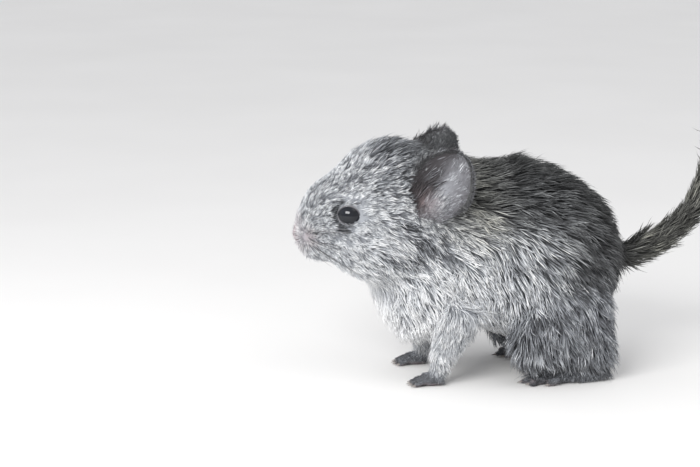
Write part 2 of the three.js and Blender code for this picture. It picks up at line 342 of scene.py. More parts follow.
class Net:
    """A triangle mesh with its edges, for smoothing and normals."""

    def __init__(self, points, triangles):
        self.points = points
        self.triangles = triangles
        pairs = np.concatenate([triangles[:, [0, 1]], triangles[:, [1, 2]], triangles[:, [2, 0]]])
        self.edges = np.unique(np.sort(pairs, axis=1), axis=0)
        self.degree = np.bincount(self.edges.ravel(), minlength=len(points))

    def neighbours_mean(self, values):
        a, b = self.edges.T
        total = [
            np.bincount(a, column[b], len(column)) + np.bincount(b, column[a], len(column))
            for column in values.T
        ]
        return np.stack(total, axis=1) / np.maximum(self.degree, 1)[:, None]

    def smooth(self, values, rounds):
        flat = values.ndim == 1
        values = values[:, None] if flat else values
        for _ in range(rounds):
            values = values + 0.5 * (self.neighbours_mean(values) - values)
        return values[:, 0] if flat else values

    def relax(self, softness, weight):
        """Moves each corner towards the middle of its neighbours."""
        step = self.neighbours_mean(self.points) - self.points
        self.points = self.points + weight * softness[:, None] * step

    def normals(self):
        corners = self.points[self.triangles]
        face = np.cross(corners[:, 1] - corners[:, 0], corners[:, 2] - corners[:, 0])
        total = np.zeros_like(self.points)
        for corner in self.triangles.T:
            for axis in range(3):
                total[:, axis] += np.bincount(corner, face[:, axis], len(total))
        return unit(total)


# The skin's starting shape: every solid swelled a little and joined
def swollen_copies(names):
    joined = bmesh.new()
    for name in names:
        part = bmesh.new()
        part.from_mesh(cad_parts[name].data)
        bmesh.ops.remove_doubles(part, verts=part.verts, dist=WELD * MM)
        part.normal_update()
        for corner in part.verts:
            corner.co += corner.normal * SEAM_FILL * MM
        mesh = bpy.data.meshes.new("part")
        part.to_mesh(mesh)
        part.free()
        joined.from_mesh(mesh)
        bpy.data.meshes.remove(mesh)
    for side in SIDES:
        root = Vector(to_frame(EAR_ROOT[side])) - Vector((SIDES[side] * EAR_ROOT_INSET * MM, 0, 0))
        ball = Matrix.Translation(root)
        bmesh.ops.create_icosphere(joined, subdivisions=3, radius=EAR_ROOT_FILL * MM, matrix=ball)
    return joined


def remeshed(joined):
    """The joined solids as one closed mesh of the wanted fineness."""
    mesh = bpy.data.meshes.new("union")
    joined.to_mesh(mesh)
    joined.free()
    union = add_object("union", mesh)
    remesh = union.modifiers.new("voxels", "REMESH")
    remesh.mode = "VOXEL"
    remesh.voxel_size = VOXEL * MM
    graph = bpy.context.evaluated_depsgraph_get()
    quads = len(union.evaluated_get(graph).data.polygons)
    thinned = union.modifiers.new("thinned", "DECIMATE")
    thinned.ratio = SKIN_TRIANGLES / (2 * quads)
    graph = bpy.context.evaluated_depsgraph_get()
    result = bpy.data.meshes.new_from_object(union.evaluated_get(graph))
    bpy.data.objects.remove(union)
    return result


def split_finely(mesh):
    """Splits the faces round the muzzle and on the toes, and makes everything triangles."""
    work = bmesh.new()
    work.from_mesh(mesh)
    work.verts.ensure_lookup_table()
    places = from_frame([v.co for v in work.verts])
    x, y, z = places.T
    fore_toes = y < FORE_TOES_END
    hind_toes = (y > HIND_TOES[0]) & (y < HIND_TOES[1]) & (np.abs(x) > HIND_TOES_INSIDE)
    fine = distances(places, MUZZLE) < MUZZLE_REACH
    fine |= (z < TOES_TOP) & (fore_toes | hind_toes)
    near = [e for e in work.edges if all(fine[v.index] for v in e.verts)]
    bmesh.ops.subdivide_edges(work, edges=near, cuts=1, use_grid_fill=True)
    bmesh.ops.triangulate(work, faces=work.faces)
    work.to_mesh(mesh)
    work.free()


def starting_net(names):
    mesh = remeshed(swollen_copies(names))
    split_finely(mesh)
    net = Net(*arrays_of(mesh))
    bpy.data.meshes.remove(mesh)
    return net


def regions_of(points, names):
    """The name of the solid that each place on the skin belongs to."""
    rng = np.random.default_rng(SEED)
    samples, labels = [], []
    for name in names:
        corners, triangles = arrays_of(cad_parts[name].data)
        corners = corners[triangles]
        area = areas_of(corners)
        count = int(area.sum() * SAMPLES_PER_AREA) + SAMPLES_LEAST
        chosen = rng.choice(len(area), count, p=area / area.sum())
        share = rng.dirichlet((1, 1, 1), count)
        samples.append((corners[chosen] * share[:, :, None]).sum(axis=1))
        labels += [name] * count
    tree = tree_of(np.concatenate(samples))
    return np.array([labels[tree.find(p)[1]] for p in points])


# The coat's properties at places on the skin
def from_guides(points):
    """Blends the guide hairs: lie, depth, length, lightness, streaks and warmth at each place."""
    mirror = np.where(points[:, :1] < 0, -1.0, 1.0)
    folded = points * np.concatenate([mirror, np.ones((len(points), 2))], axis=1)
    total = np.zeros((len(points), 8))
    weights = np.zeros(len(points))
    for place, lie, *rest in GUIDES:
        for side in SIDES:
            away = distances(folded, mirrored(place, side))
            weight = np.exp(-((away / GUIDE_REACH) ** 1.5)) + FAR_WEIGHT / (1 + away**4)
            if place[0] == 0:
                weight = weight / 2
            total += weight[:, None] * np.array([*mirrored(lie, side), *rest])
            weights += weight
    total /= weights[:, None]
    total[:, 0] *= mirror[:, 0]
    return total


def tail_direction(points):
    """Along the tail towards its tip, at the nearest stretch of its middle line."""
    middles = (TAIL_LINE[:-1] + TAIL_LINE[1:]) / 2
    steps = unit(np.diff(TAIL_LINE, axis=0))
    away = np.linalg.norm(points[:, None] - middles[None], axis=2)
    weight = spot((away, 0, TAIL_REACH)) + FAR_WEIGHT
    return unit((weight[:, :, None] * steps[None]).sum(axis=1))


def ear_frame(side):
    """Root, direction to the tip, direction across and the way the hollow faces."""
    up = unit(np.array(EAR_LEAN[side]))
    across = unit(np.cross(up, mirrored(EAR_FACES, side)))
    return np.array(EAR_ROOT[side], float), up, across, np.cross(across, up)


def ear_places(points, normals, side):
    """Places in an ear's own directions: rise, back, height over the sheet, and how far they face out."""
    root, up, across, out = ear_frame(side)
    offset = points - root
    return offset @ up, offset @ across * SIDES[side], offset @ out, normals @ out


def ear_reach(rise, back):
    """From 0 in the middle of an ear's oval to 1 at its edge."""
    return np.hypot((rise - EAR_LENGTH / 2) / (EAR_LENGTH / 2), back / (EAR_WIDTH / 2))


def ear_lie(points, side):
    """The hair of an ear runs to its tip and fans out."""
    root, up, across, _ = ear_frame(side)
    offset = (points - root) @ across
    return unit(up + across * (offset / EAR_FAN)[:, None])


def behind_sheet(rise, back, high, sheet, asked):
    """Which of the asked places lie behind the sheet of an ear."""
    plane = np.stack([rise, back, np.zeros(len(rise))], axis=1)
    members = np.nonzero(sheet)[0]
    tree = tree_of(plane[members])
    hidden = np.zeros(len(rise), bool)
    for index in np.nonzero(asked)[0]:
        _, nearest, gap = tree.find(plane[index])
        hidden[index] = gap < 1.6 and high[members[nearest]] > high[index] + 1
    return hidden


def spread_from_whorl(points, rows, side):
    """Hair that stands out all round the middle of the whisker pad."""
    offset = points - mirrored(WHORL, side)
    away = np.linalg.norm(offset, axis=1)
    share = (spot((away, 0, 4.2)) * (1 - spot((away, 0, 1.6))))[:, None]
    rows[:, :3] = rows[:, :3] * (1 - share) + unit(offset) * share
    rows[:, DEPTH] += 0.35 * share[:, 0]


class Lay:
    """What the coat is like at each corner of the skin."""

    def __init__(self, net, regions, kinds):
        points, normals = net.points, net.normals()
        self.kinds = kinds
        self.inner_ear = np.zeros(len(points))
        rows = from_guides(points)
        for kind, (lie, *rest) in PARTS.items():
            rows[kinds == kind] = (*lie, *rest)
        tail = kinds == "tail"
        rows[tail, :3] = tail_direction(points[tail])
        for side in SIDES:
            ear = regions == "ear_" + side
            rows[ear, :3] = ear_lie(points[ear], side)
        for side in SIDES:
            self.clear_ear(points, normals, rows, side)
            spread_from_whorl(points, rows, side)
        small = (self.inner_ear > 0) | np.isin(kinds, ["ear", "nose"])
        rows = np.where(small[:, None], net.smooth(rows, 6), net.smooth(rows, 26))
        self.inner_ear = net.smooth(self.inner_ear, 2)
        self.lie = rows[:, :3]
        self.depth, self.length, self.light, self.streaks, self.warm = rows[:, 3:].T
        self.pink = np.zeros(len(points))

    def clear_ear(self, points, normals, rows, side):
        """Short hair inside an ear, and before it hair that stops at its rim."""
        rise, back, high, facing = ear_places(points, normals, side)
        reach = ear_reach(rise, back)
        is_ear = self.kinds == "ear"
        outer = (facing > 0.15) & (np.abs(high) < EAR_NEAR)
        outer &= ~behind_sheet(rise, back, high, is_ear & outer, outer & ~is_ear & (reach < 1))
        inside = outer & (reach < EAR_RIM)
        before = outer & (reach >= EAR_RIM) & ((back < 2) | (rise < 3))
        gap = (reach[before] - EAR_RIM) * (EAR_WIDTH / 2)
        rows[before, LENGTH] = np.minimum(rows[before, LENGTH], 1.2 + 0.8 * gap)
        rows[before, DEPTH] = np.minimum(rows[before, DEPTH], 0.6 + 0.3 * gap)
        front = smoothstep(0, 5, -back[inside])
        backwards = ear_frame(side)[2] * SIDES[side]
        rows[inside, :3] = ear_lie(points[inside], side) + 0.9 * front[:, None] * backwards
        rows[inside, DEPTH] = 0.9 + 0.6 * front
        rows[inside, LENGTH] = 1.0 + 5 * np.clip(1 - reach[inside], 0, 0.6) + 2.6 * front
        rows[inside, STREAKS] = 0.4 + 0.5 * front
        self.inner_ear[inside] = 1

    def underfur(self):
        """How much darker the skin is than the coat over it: the fur is darker at its roots."""
        return np.where(np.isin(self.kinds, THIN_KINDS), 0.92, 0.62 + 0.3 * self.inner_ear)


# Materials
FUR_COLOURS = [
    (0.0, (0.012, 0.012, 0.014)),
    (0.2, (0.036, 0.038, 0.042)),
    (0.4, (0.12, 0.125, 0.137)),
    (0.6, (0.31, 0.325, 0.35)),
    (0.8, (0.66, 0.68, 0.71)),
    (1.0, (0.96, 0.965, 0.97)),
]
OLIVE = (0.62, 0.58, 0.44)
PINK = (0.50, 0.385, 0.39)
LID_EDGE = (0.02, 0.02, 0.025)


class Look:
    """A material, with short ways to add nodes to it."""

    def __init__(self, name):
        self.material = bpy.data.materials.new(name)
        self.material.use_nodes = True
        self.nodes = self.material.node_tree.nodes
        self.links = self.material.node_tree.links
        self.shader = self.nodes["Principled BSDF"]

    def feed(self, socket, value):
        """Links a socket to another one, or sets its colour or number."""
        if isinstance(value, bpy.types.NodeSocket):
            self.links.new(value, socket)
        elif isinstance(value, tuple):
            socket.default_value = (*value, 1)
        else:
            socket.default_value = value

    def number(self, name):
        """A number that the mesh has for each corner."""
        node = self.nodes.new("ShaderNodeAttribute")
        node.attribute_name = name
        return node.outputs["Fac"]

    def ramp(self, value, stops):
        node = self.nodes.new("ShaderNodeValToRGB")
        elements = node.color_ramp.elements
        for element, (place, colour) in zip(elements, (stops[0], stops[-1])):
            element.position, element.color = place, (*colour, 1)
        for place, colour in stops[1:-1]:
            elements.new(place).color = (*colour, 1)
        self.feed(node.inputs["Fac"], value)
        return node.outputs["Color"]

    def mix(self, factor, a, b, mode="MIX"):
        node = self.nodes.new("ShaderNodeMix")
        node.data_type = "RGBA"
        node.blend_type = mode
        for number, value in ((0, factor), (6, a), (7, b)):  # the sockets for colours
            self.feed(node.inputs[number], value)
        return node.outputs[2]

    def maths(self, operation, a, b):
        node = self.nodes.new("ShaderNodeMath")
        node.operation = operation
        node.use_clamp = True
        self.feed(node.inputs[0], a)
        self.feed(node.inputs[1], b)
        return node.outputs[0]

    def noise(self, scale, detail, stretch=(1, 1, 1)):
        place = self.nodes.new("ShaderNodeTexCoord")
        mapping = self.nodes.new("ShaderNodeMapping")
        mapping.inputs["Scale"].default_value = stretch
        texture = self.nodes.new("ShaderNodeTexNoise")
        texture.inputs["Scale"].default_value = scale
        texture.inputs["Detail"].default_value = detail
        self.links.new(place.outputs["Object"], mapping.inputs["Vector"])
        self.links.new(mapping.outputs["Vector"], texture.inputs["Vector"])
        return texture.outputs["Fac"]

    def bump(self, height, distance, strength):
        node = self.nodes.new("ShaderNodeBump")
        node.inputs["Distance"].default_value = distance * MM
        node.inputs["Strength"].default_value = strength
        self.links.new(height, node.inputs["Height"])
        self.links.new(node.outputs["Normal"], self.shader.inputs["Normal"])

    def finished(self, colour, numbers):
        """The material with this colour and these numbers on its shader."""
        self.links.new(colour, self.shader.inputs["Base Color"])
        for name, value in numbers.items():
            self.shader.inputs[name].default_value = value
        return self.material


def coat_colour(look, lightness):
    """The fur's colour from its lightness, its olive warmth and its pinkness."""
    grey = look.ramp(lightness, FUR_COLOURS)
    olive = look.mix(1.0, grey, OLIVE, "MULTIPLY")
    warm = look.mix(look.number("warm"), grey, olive)
    return look.mix(look.number("pink"), warm, PINK)


def fur_material():
    look = Look("fur")
    flecks = look.maths("MULTIPLY", look.noise(900, 2), 0.14)
    lightness = look.maths("ADD", look.number("light"), flecks)
    numbers = {"Roughness": 0.62, "Specular IOR Level": 0.25, "Sheen Weight": 0.12, "Sheen Roughness": 0.4}
    return look.finished(coat_colour(look, lightness), numbers)


def skin_material():
    look = Look("skin")
    grain = look.noise(1400, 4, (1, 0.35, 0.6))
    lightness = look.maths("ADD", look.number("light"), look.maths("MULTIPLY", grain, 0.1))
    look.bump(grain, 0.25, 0.6)
    return look.finished(coat_colour(look, lightness), {"Roughness": 0.7, "Specular IOR Level": 0.2})


def eye_material():
    look = Look("eye")
    stops = [(0.3, (0.002, 0.0025, 0.004)), (0.7, (0.008, 0.010, 0.016))]
    numbers = {"Roughness": 0.04, "Coat Weight": 0.5, "Coat Roughness": 0.02, "Specular IOR Level": 0.2}
    return look.finished(look.ramp(look.noise(260, 2), stops), numbers)


def lid_material():
    look = Look("lid")
    creases = look.noise(1800, 3)
    bare = look.ramp(creases, [(0.3, (0.15, 0.145, 0.155)), (0.75, (0.27, 0.265, 0.28))])
    look.bump(creases, 0.12, 0.5)
    return look.finished(look.mix(look.number("edge"), bare, LID_EDGE), {"Roughness": 0.45})


def claw_material():
    look = Look("claw")
    stops = [(0.3, (0.2, 0.18, 0.17)), (0.8, (0.42, 0.38, 0.35))]
    return look.finished(look.ramp(look.noise(900, 2, (1, 0.2, 1)), stops), {"Roughness": 0.35})


def whisker_material():
    look = Look("whisker")
    stops = [(0.0, (0.04, 0.04, 0.045)), (1.0, (0.3, 0.3, 0.31))]
    return look.finished(look.ramp(look.number("along"), stops), {"Roughness": 0.4})


def floor_material():
    look = Look("floor")
    stops = [(0.2, (0.86, 0.85, 0.835)), (0.8, (0.90, 0.89, 0.875))]
    return look.finished(look.ramp(look.noise(9, 2), stops), {"Roughness": 0.9})


# Eyes and lids
def eye_axes(side):
    """Outwards, back and up for an eye."""
    look = unit(mirrored(EYE_LOOK, side))
    back = np.array([0, 1, -0.12])
    back = unit(back - look * (back @ look))
    up = np.cross(look, back) * -SIDES[side]
    return look, back, up * np.sign(up[2])


def opening_reach(turn):
    """How far the lids' edge is from the middle of the opening: an almond with its point at the back."""
    oval = 1 / np.hypot(np.cos(turn) / (OPENING_LENGTH / 2), np.sin(turn) / (OPENING_HEIGHT / 2))
    back_point = 0.16 * spot((turn, -0.2, 0.34))
    front_point = 0.07 * spot((np.abs(np.abs(turn) - math.pi), 0, 0.35))
    return oval * (1 + back_point + front_point)


def lid_places(points, side):
    """Distance from the eye's middle, distance outside the lids' edge, and angle round the opening."""
    look, back, up = eye_axes(side)
    offset = points - EYE_CENTRE[side]
    distance = np.linalg.norm(offset, axis=1)
    turn = np.arctan2(offset @ up, offset @ back)
    spread = np.hypot(offset @ up, offset @ back)
    beyond = np.where(offset @ look > 0, spread - opening_reach(turn), 9.0)
    return distance, beyond, turn


def build_eye(side, material):
    rings, steps = 40, 72
    look, back, up = eye_axes(side)
    turn = np.linspace(0, 2 * math.pi, steps, endpoint=False)
    circle = np.cos(turn)[:, None] * back + np.sin(turn)[:, None] * up
    rows = []
    for tilt in np.linspace(0, math.pi, rings + 1)[1:-1]:
        radius = EYE_RADIUS * (1 + EYE_BULGE * math.exp(-((tilt / 0.75) ** 2)))
        rows.append(EYE_CENTRE[side] + radius * (math.cos(tilt) * look + math.sin(tilt) * circle))
    front = EYE_CENTRE[side] + look * EYE_RADIUS * (1 + EYE_BULGE)
    mesh = mesh_from("eye_" + side, *closed_rings(rows, [front, EYE_CENTRE[side] - look * EYE_RADIUS]))
    add_piece("eyeball_" + side, mesh, material, ["eye_" + side])


# Distance beyond the lids' edge along the eyeball, height over the eyeball, darkness of the edge
LID_PROFILE = [
    (-0.10, -0.12, 1.0),
    (0.00, 0.08, 1.0),
    (0.08, 0.22, 0.9),
    (0.22, 0.30, 0.3),
    (0.45, 0.27, 0.0),
    (0.70, 0.12, 0.0),
    (1.00, -0.20, 0.0),
    (0.90, -0.70, 0.0),
    (0.35, -0.70, 0.0),
]


def build_lids(side, material):
    """A ring of skin round the opening that lies on the eyeball."""
    steps = 96
    look, back, up = eye_axes(side)
    turn = np.linspace(-math.pi, math.pi, steps, endpoint=False)
    edge = np.arcsin(np.clip(opening_reach(turn) / EYE_RADIUS, 0, 0.98))
    circle = np.cos(turn)[:, None] * back + np.sin(turn)[:, None] * up
    rows, dark = [], []
    for beyond, rise, shade in LID_PROFILE:
        tilt = edge + beyond / EYE_RADIUS
        direction = np.cos(tilt)[:, None] * look + np.sin(tilt)[:, None] * circle
        rows.append(EYE_CENTRE[side] + (EYE_RADIUS + rise) * direction)
        dark += [shade] * steps
    faces = []
    for r in range(len(rows)):
        here, below = r * steps, (r + 1) % len(rows) * steps
        for k in range(steps):
            n = (k + 1) % steps
            faces += [(here + k, here + n, below + n), (here + k, below + n, below + k)]
    mesh = mesh_from("lids_" + side, *outward(np.concatenate(rows), np.array(faces)))
    add_piece("lids_" + side, mesh, material, numbers={"edge": dark})


# Shapes that are carved into the skin
LIP_CLEFT = ((0, -0.9), (0, -5.2))  # x and height over the middle of the nose
NOSTRIL = ((0.6, -0.1), (1.2, 0.5), (1.8, 0.1))
MOUTH = ((0, -5.2), (2.2, -6.1), (4.6, -7))
FACE_LINES = [(LIP_CLEFT, 0.3, 0.45), (NOSTRIL, 0.36, 0.75), (MOUTH, 0.34, 0.45)]  # width and depth
TOE_GAP_WIDTH = 0.32
TOE_GAP_DEPTH = 0.75
TOE_GAPS = [  # x and y of each gap between toes at its root and its tip, on the left
    ((10.4, 37.5), (10.2, 31)),
    ((12, 37.5), (12, 31)),
    ((13.6, 37.5), (13.8, 31)),
    ((14.7, 74.5), (14.5, 64)),
    ((16.9, 74.5), (17.1, 64)),
    ((18.9, 75), (19.3, 64)),
]


def groove(points, line, width, depth):
    """How far to sink each place for a groove along a line of points."""
    line = np.array(line, float)
    nearest = np.full(len(points), np.inf)
    for a, b in zip(line[:-1], line[1:]):
        t = np.clip((points - a) @ (b - a) / ((b - a) @ (b - a)), 0, 1)
        nearest = np.minimum(nearest, np.linalg.norm(points - a - t[:, None] * (b - a), axis=1))
    return depth * spot((nearest, 0, width))


def grooves(points, lines):
    """The same for several grooves on both sides, each with its line, width and depth."""
    sink = np.zeros(len(points))
    for side in SIDES:
        for line, width, depth in lines:
            sink = np.maximum(sink, groove(points, mirrored(line, side), width, depth))
    return sink


def carve_face(net):
    """Nostrils, the cleft of the lip and the line of the mouth. Gives how far each place sinks."""
    normals = net.normals()
    lines = [([(x, 0, NOSE[2] + z) for x, z in line], *size) for line, *size in FACE_LINES]
    sink = grooves(net.points * (1, 0, 1), lines)
    sink *= smoothstep(0.1, 0.4, -normals[:, 1]) * (1 - smoothstep(4, 7, net.points[:, 1]))
    net.points = net.points - normals * sink[:, None]
    return sink


def carve_toes(net):
    """Sinks a groove between neighbouring toes."""
    lines = [([(x, y, 0) for x, y in gap], TOE_GAP_WIDTH, TOE_GAP_DEPTH) for gap in TOE_GAPS]
    sink = grooves(net.points * (1, 1, 0), lines)
    low = 1 - smoothstep(2.6, 3.6, net.points[:, 2])
    net.points = net.points - net.normals() * (sink * low)[:, None]


def carve_ear(net, side):
    """Opens the hole of an ear and raises the tragus before it."""
    rise, back, high, facing = ear_places(net.points, net.normals(), side)
    facing = smoothstep(0.1, 0.6, facing) * (np.abs(high) < EAR_NEAR)
    hole = spot((rise, EAR_HOLE[0], 1.7), (back, EAR_HOLE[1], 1.6))
    tragus = spot((rise, TRAGUS[0], 1.4), (back, TRAGUS[1], 1.5))
    out = ear_frame(side)[3]
    net.points = net.points + out * ((0.8 * tragus - 1.5 * hole) * facing)[:, None]


def carve_eye_socket(net, side):
    """Sinks the skin under the eyeball inside the lids and lays it round the ball outside them."""
    distance, beyond, _ = lid_places(net.points, side)
    wanted = np.where(beyond < 0.25, EYE_RADIUS - SOCKET_DEPTH, EYE_RADIUS + SOCKET_LIP)
    pull = 1 - smoothstep(0.25, 1.3, beyond)
    pull = pull * (distance < 2.6 * EYE_RADIUS)
    scale = 1 + pull * (wanted / np.maximum(distance, 1e-9) - 1)
    net.points = EYE_CENTRE[side] + (net.points - EYE_CENTRE[side]) * scale[:, None]


# Skin
def coat_depth(net, lay):
    """The depth of the coat, with less on the ears and round the eyes."""
    depth = np.where(lay.kinds == "ear", EAR_COAT, lay.depth)
    for side in SIDES:
        distance = distances(net.points, EYE_CENTRE[side])
        depth = depth * (0.35 + 0.65 * smoothstep(5.5, 10, distance))
    return net.smooth(depth, 4)


def build_skin(names):
    net = starting_net(names)
    regions = regions_of(net.points, names)
    kinds = np.array([name.split("_")[0] for name in regions])
    softness = net.smooth(np.where(np.isin(kinds, THIN_KINDS), THIN_SOFTNESS, 1.0), 6)
    for _ in range(SOFT_ROUNDS):
        net.relax(softness, 0.5)
    lay = Lay(net, regions, kinds)
    lay.depth = coat_depth(net, lay)
    for _ in range(SINK_ROUNDS):
        normals = unit(net.smooth(net.normals(), 2))
        net.points = net.points - normals * (lay.depth / SINK_ROUNDS)[:, None]
        net.relax(softness, 0.3)
    for side in SIDES:
        carve_ear(net, side)
    for side in SIDES:
        carve_eye_socket(net, side)
    sunk = carve_face(net)
    carve_toes(net)
    net.points[:, 2] = np.maximum(net.points[:, 2], 0)
    lay.normals = net.normals()
    mark(net.points, lay)
    # Painted shade in the nostrils, the cleft of the lip and the line of the mouth: the deeper the groove,
    # the darker and the less pink
    lay.light = lay.light - 0.9 * sunk
    lay.pink = lay.pink * (1 - np.clip(1.6 * sunk, 0, 1))
    return net, lay


# Markings that the guides are too coarse for, and painted shade in folds, a crease and the ears' holes
CHEEK_FOLD_SHADES = [  # y and z along each line of painted shade in the folds behind the cheek
    ((27, 52), (32, 49.6)),
    ((28.5, 49), (36, 44.4)),
    ((22, 42), (27, 39)),
]
CHEEK_FOLD_SHADE_WIDTH = 1.0
CHEEK_FOLD_SHADE_DARK = 0.55


def mark_muzzle(points, lay):
    """A pink nose and whisker pads, and a lighter muzzle."""
    from_nose = distances(points, NOSE)
    lay.pink = 0.25 * (1 - smoothstep(3, 7, from_nose)) + 0.3 * (1 - smoothstep(1.8, 3, from_nose))
    lay.light = lay.light + 0.08 * (1 - smoothstep(2.5, 9.0, from_nose))
    for side in SIDES:
        from_whorl = distances(points, mirrored(WHORL, side))
        lay.pink = np.maximum(lay.pink, 0.34 * (1 - smoothstep(1.0, 3.6, from_whorl)))


def mark_soles(lay):
    """Pink soles."""
    feet = np.isin(lay.kinds, FEET)
    lay.pink = np.maximum(lay.pink, 0.35 * feet * smoothstep(0.2, 0.9, -lay.normals[:, 2]))


def mark_eye(points, lay, side):
    """A dark line before the eye, and a lighter one under it."""
    distance, beyond, turn = lid_places(points, side)
    close = distance < 2.5 * EYE_RADIUS
    before = smoothstep(0.1, 0.8, -np.cos(turn - 0.3))
    line = spot((beyond, 2.5, 1.0)) * close
    lay.light = lay.light - 0.85 * line * before
    under = spot((beyond, 0.8, 0.8)) * close * smoothstep(-0.2, 0.5, np.cos(turn + 0.7))
    lay.light = lay.light + 0.04 * under


def mark_ear_and_hole_shade(points, lay, side):
    """A nearly bare inside: light in the middle, dark in front and at the rim, painted shade in the hole,
    rosy low down.
    """
    rise, back, _, _ = ear_places(points, lay.normals, side)
    inside = lay.inner_ear * (points[:, 0] * SIDES[side] > 0)
    rim = smoothstep(0.62, EAR_RIM, ear_reach(rise, back))
    front = smoothstep(-1, 5, -back) * (1 - 0.35 * smoothstep(9, 18, rise))
    bare = 0.41 + 0.14 * spot((rise, 8, 6), (back, 0.5, 3))
    bare -= 0.1 * rim + 0.08 * smoothstep(2, 8, back) + 0.4 * front
    bare += 0.1 * spot((rise, 5, 3), (back, 1, 3))
    # painted shade in the ear's hole
    bare -= 0.3 * spot((rise, EAR_HOLE[0], 2.0), (back, EAR_HOLE[1], 1.8))
    rosy = 0.05 + 0.34 * spot((rise, 3.5, 2.6), (back, -1, 3.5))
    lay.light = lay.light * (1 - inside) + bare * inside
    lay.pink = np.maximum(lay.pink, rosy * inside)
    lay.warm = lay.warm * (1 - inside)


def paint_fold_shade(points, lay):
    """Painted shade in the folds behind the cheek and in the crease behind the shoulders."""
    # painted shade along each fold behind the cheek
    for fold in CHEEK_FOLD_SHADES:
        line = [(0, *place) for place in fold]
        lay.light = lay.light - groove(points * (0, 1, 1), line, CHEEK_FOLD_SHADE_WIDTH, CHEEK_FOLD_SHADE_DARK)
    _, y, z = points.T
    # painted shade in the crease behind the shoulders
    crease = spot((y - 60, 0.1 * (z - 50), 1.5)) * smoothstep(44, 54, z)
    lay.light = lay.light - 0.16 * crease


# The coat's markings, with painted shade in the cheek folds, the shoulder crease and the ears' holes
def mark(points, lay):
    mark_muzzle(points, lay)
    mark_soles(lay)
    for side in SIDES:
        mark_eye(points, lay, side)
        mark_ear_and_hole_shade(points, lay, side)
    paint_fold_shade(points, lay)


# Coat
def tuft_triangles(tall):
    return np.where(tall, LONG_TUFT_TRIANGLES, SHORT_TUFT_TRIANGLES)


def scatter(net, lay, rng):
    """Roots of the tufts: a triangle, a place in it, and whether the tuft is a long one."""
    corners = net.points[net.triangles]
    middle = corners.mean(axis=1)
    length = lay.length[net.triangles].mean(axis=1)
    width = np.maximum(length * WIDTH_SHARE, WIDTH_LEAST)
    crowd = areas_of(corners) / (length * width)
    for side in SIDES:
        distance, beyond, _ = lid_places(middle, side)
        crowd[(beyond < BARE_ROUND_EYE) & (distance < 2 * EYE_RADIUS)] = 0
    crowd[np.linalg.norm((middle - NOSE) / (1, 1, 0.8), axis=1) < BARE_NOSE] = 0
    crowd *= 1 - 0.25 * lay.inner_ear[net.triangles].mean(axis=1)
    feet = np.isin(lay.kinds[net.triangles[:, 0]], FEET)
    crowd[(middle[:, 2] < SOLES) & feet] = 0
    tall = length > LONG_TUFT
    count = COAT_TRIANGLES / (crowd * tuft_triangles(tall)).sum() * crowd
    whole = np.floor(count + rng.random(len(count))).astype(int)
    chosen = np.repeat(np.arange(len(count)), whole)
    share = rng.dirichlet((1, 1, 1), len(chosen))
    return chosen, share, tall[chosen]


def blending_at(corners, share):
    """Gives a function that blends what the skin's corners have, at the roots."""

    def blend(values):
        weights = share[:, :, None] if values.ndim == 2 else share
        return (values[corners] * weights).sum(axis=1)

    return blend


def clump_index(roots, rng):
    """For each root, the root that leads its lock."""
    leaders = rng.choice(len(roots), max(1, len(roots) // CLUMP), replace=False)
    tree = tree_of(roots[leaders])
    return leaders[np.array([tree.find(p)[1] for p in roots])]


def grow_tufts(roots, lay, blend, rng):
    """Normals, centre lines (root, two bends and tip), widths and leaders of the tufts."""
    normals = unit(blend(lay.normals))
    count = len(roots)
    leader = clump_index(roots, rng)
    own, shared = (rng.normal(0, spread, (count, 3)) for spread in (SPREAD_OWN, SPREAD_LOCK))
    lie = unit(blend(lay.lie)) + own + shared[leader]
    lie += WAVE * np.sin(roots @ WAVE_TURNS.T + (0, 2, 4))
    flat = unit(lie - normals * (lie * normals).sum(axis=1, keepdims=True))
    guard = rng.random(count) < GUARD_HAIRS
    length = blend(lay.length) * rng.uniform(0.7, 1.2, count) * np.where(guard, GUARD_LENGTH, 1.0)
    steepness = np.clip(blend(lay.depth) / length, 0.12, 0.75)
    steepness = steepness * rng.uniform(0.75, 1.15, count) * np.where(guard, GUARD_STEEPNESS, 1.0)
    path = [roots - normals * ROOT_DEPTH]
    for part, rise in ((0.36, 1.25), (0.36, 0.95), (0.28, 0.45)):  # share of the length, and of the steepness
        sine = np.clip(steepness * rise, 0.05, 0.9)[:, None]
        step = flat * np.sqrt(1 - sine**2) + normals * sine
        path.append(path[-1] + step * (part * length)[:, None])
    path = gathered(np.stack(path, axis=1), roots - roots[leader])
    path[:, :, 2] = np.maximum(path[:, :, 2], 0.12)
    width = np.maximum(length * WIDTH_SHARE, WIDTH_LEAST)
    width = width * rng.uniform(0.75, 1.25, count) * np.where(guard, GUARD_WIDTH, 1.0)
    return normals, path, width, leader


def gathered(path, offset):
    """Pulls the tufts of a lock together, more towards their tips."""
    pull = np.array([0, 0.2, 0.48, 0.72])[None, :, None]
    near = np.clip(1.4 - np.linalg.norm(offset, axis=1) / CLUMP_REACH, 0, 1)[:, None, None]
    return path - offset[:, None] * pull * near


RING = np.array([(-0.5, 0.0), (0.5, 0.0), (0.0, 0.42)])  # across and out, in tuft widths
SWELL = {3: (0.75, 1.0, 0.7), 2: (0.85, 0.95)}  # width of each ring, for tufts of so many rings
MAP_ACROSS = (-0.5, 0.5, 0.05)  # where the three corners of a ring lie across a tuft's patch
MAP_TIP = (-0.2, 1.0)
MAP_ROOT = [(-0.5, 0.0), (0.05, 0.12), (0.5, 0.0)]  # corners of the triangle that closes the root


def tuft_faces(rings):
    """Triangles of one tuft, and where their corners lie on its patch of the map."""
    tip = rings * 3
    faces = []
    for ring in range(rings):
        for k in range(3):
            a, b = ring * 3 + k, ring * 3 + (k + 1) % 3
            if ring < rings - 1:
                faces += [(a, b, b + 3), (a, b + 3, a + 3)]
            else:
                faces.append((a, b, tip))
    places = [(across, ring * (1 / rings)) for ring in range(rings) for across in MAP_ACROSS] + [MAP_TIP]
    maps = [[places[corner] for corner in face] for face in faces] + [MAP_ROOT]
    return np.array(faces + [(0, 2, 1)]), np.array(maps)


